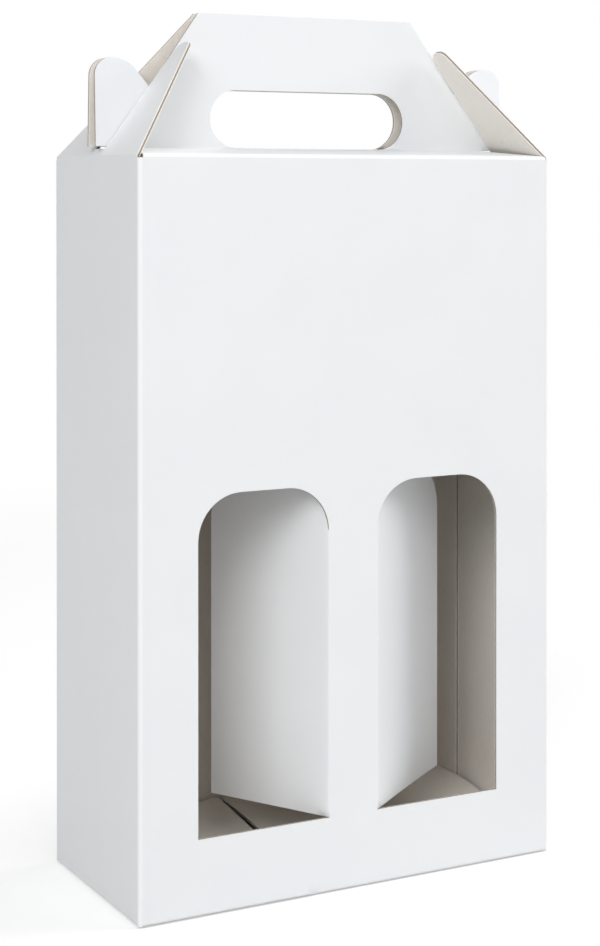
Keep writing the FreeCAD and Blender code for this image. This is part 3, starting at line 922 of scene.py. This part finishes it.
bpy.ops.mesh.primitive_plane_add(size=FLOOR_SIZE, location=(0, 0, FLOOR_TOP))
floor = bpy.context.object
floor.name = "floor"
floor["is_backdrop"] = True
floor_white, graph = finish("floor_white")
seen = graph.node("ShaderNodeLightPath", output=0)
mirrored = graph.node("ShaderNodeLightPath", output=3)
lit = graph.node("ShaderNodeBsdfDiffuse", {}, {"Color": (0.80, 0.80, 0.80, 1)})
glow = graph.node("ShaderNodeEmission", {}, {"Color": WHITE, "Strength": FLOOR_GLOW})
backdrop = graph.node("ShaderNodeEmission", {}, {"Color": WHITE, "Strength": 1.0})
spot = graph.node("ShaderNodeTexCoord", output=3)
from_box = graph.node("ShaderNodeVectorMath", {"operation": "LENGTH"}, {0: spot}, output=1)
near_box = graph.node("ShaderNodeAddShader", {}, {0: lit, 1: glow})
away = ramped(graph, from_box, *FLOOR_FADE)
shown = graph.node("ShaderNodeMixShader", {}, {0: away, 1: near_box, 2: backdrop})
looked_at = graph.node("ShaderNodeMath", {"operation": "MAXIMUM"}, {0: seen, 1: mirrored})
chosen = graph.node("ShaderNodeMixShader", {}, {0: looked_at, 1: lit, 2: shown})
graph.node("ShaderNodeOutputMaterial", {}, {"Surface": chosen}, output=None)
floor.data.materials.append(floor_white)
print(f"floor {FLOOR_SIZE} m wide, white from {FLOOR_FADE[1]} m out")

# %% World
WORLD_LEVEL = 0.30
scene = bpy.context.scene
scene.world = bpy.data.worlds.new("studio")
scene.world.use_nodes = True
scene.world.node_tree.nodes.clear()
graph = Graph(scene.world.node_tree)
seen = graph.node("ShaderNodeLightPath", output=0)
around = graph.node("ShaderNodeBackground", {}, {"Color": WHITE, "Strength": WORLD_LEVEL})
white = graph.node("ShaderNodeBackground", {}, {"Color": WHITE, "Strength": 1.0})
chosen = graph.node("ShaderNodeMixShader", {}, {0: seen, 1: around, 2: white})
graph.node("ShaderNodeOutputWorld", {}, {"Surface": chosen}, output=None)
print(f"world level {WORLD_LEVEL}")

# %% Lamps
LAMP_DISTANCE = 2.4


def lamp(name, azimuth, elevation, size, watts):
    """A square soft box that looks at the carton's middle. Azimuth 0 is the front, 90 the left side."""
    data = bpy.data.lights.new(name, "AREA")
    data.shape, data.size, data.energy = "SQUARE", size, watts
    obj = bpy.data.objects.new(name, data)
    scene.collection.objects.link(obj)
    a, e = math.radians(azimuth), math.radians(elevation)
    towards = Vector((-math.sin(a) * math.cos(e), -math.cos(a) * math.cos(e), math.sin(e)))
    obj.location = Vector((0, 0, HEIGHT * MM / 2)) + towards * LAMP_DISTANCE
    obj.rotation_euler = towards.to_track_quat("Z", "Y").to_euler()
    print(f"{name}: {size} m wide, {watts} W")


lamp("left_soft_box", azimuth=50, elevation=33, size=1.2, watts=22.0)
lamp("right_soft_box", azimuth=-80, elevation=30, size=1.8, watts=40.0)
lamp("top_soft_box", azimuth=5, elevation=52, size=1.2, watts=6.5)
lamp("front_fill", azimuth=25, elevation=30, size=1.4, watts=5.0)

# %% [markdown]
# The camera stands to the left and high enough to look level at the handle. The photo's upright edges are
# nearly parallel, so the lens is shifted down and hardly tilted.

# %% Camera
LENS, SENSOR = 75.18, 36.0
LENS_SHIFT = -0.2865
CAMERA_PLACE = (-0.4159, -0.7744, 0.2970)
CAMERA_YAW, CAMERA_PITCH = 28.119, 0.374

eye = bpy.data.cameras.new("camera")
eye.sensor_width, eye.lens, eye.shift_y = SENSOR, LENS, LENS_SHIFT
camera = bpy.data.objects.new("camera", eye)
scene.collection.objects.link(camera)
camera.location = CAMERA_PLACE
camera.rotation_euler = (math.radians(90 - CAMERA_PITCH), 0, -math.radians(CAMERA_YAW))
scene.camera = camera
scene.view_settings.view_transform = "Standard"
print(f"camera: {LENS} mm lens, {CAMERA_YAW} degrees from the front")

# %% Sizes against the CAD model
low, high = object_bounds()
print("dressed box, mm:", [round(1000 * v, 1) for v in (*low, *high)])
boxes = {"cad": [list(cad_low), list(cad_high)], "visual": [list(low), list(high)]}
